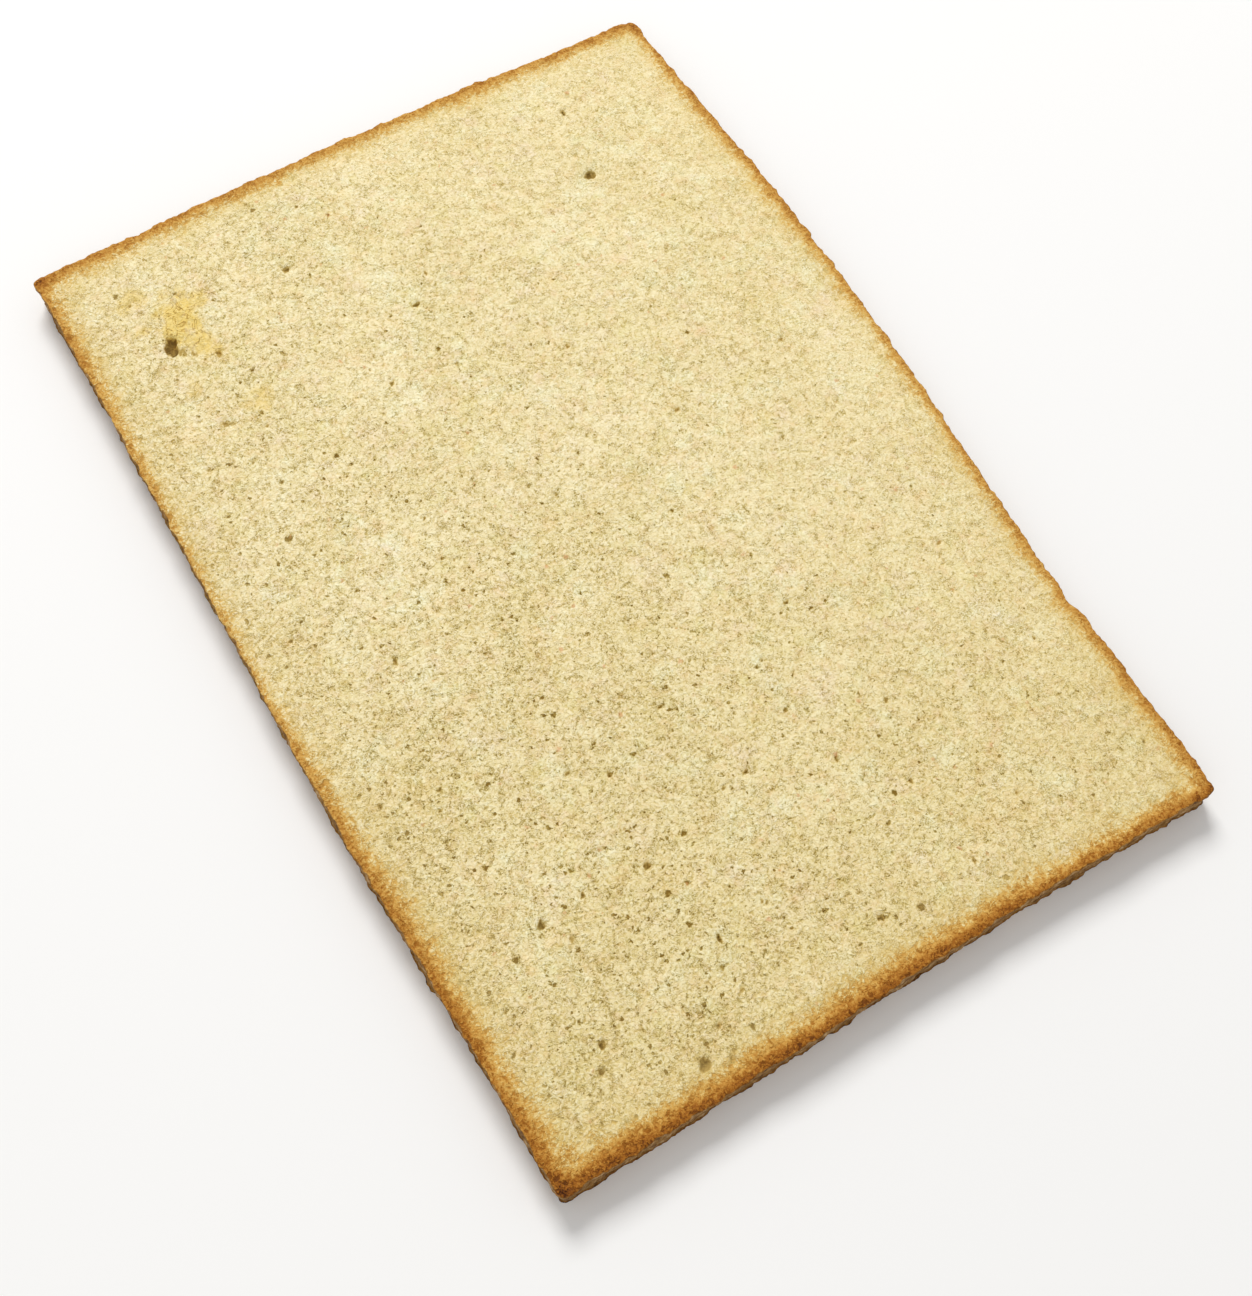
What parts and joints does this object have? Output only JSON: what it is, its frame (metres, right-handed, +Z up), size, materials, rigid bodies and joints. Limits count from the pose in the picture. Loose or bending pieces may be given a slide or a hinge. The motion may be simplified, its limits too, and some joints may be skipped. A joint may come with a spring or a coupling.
{
  "type": "sandwich bread base",
  "caption": "Large thin rectangular sheet of pale bread with porous cut faces and a browned cragged crust on its sides, the base of a layered sandwich cake.",
  "frame": {"origin": "centre of the box round the sheet, on the plane it lies on", "axes": "+Z up out of the upper cut face, +Y along the long side to the back, +X along the short side to the right"},
  "size_m": [0.2836, 0.4124, 0.0135],
  "materials": {
    "bread": "matte open crumb with a browned crust"
  },
  "bodies": {
    "root": {"bread_sheet": "bread"}
  },
  "joints": []
}
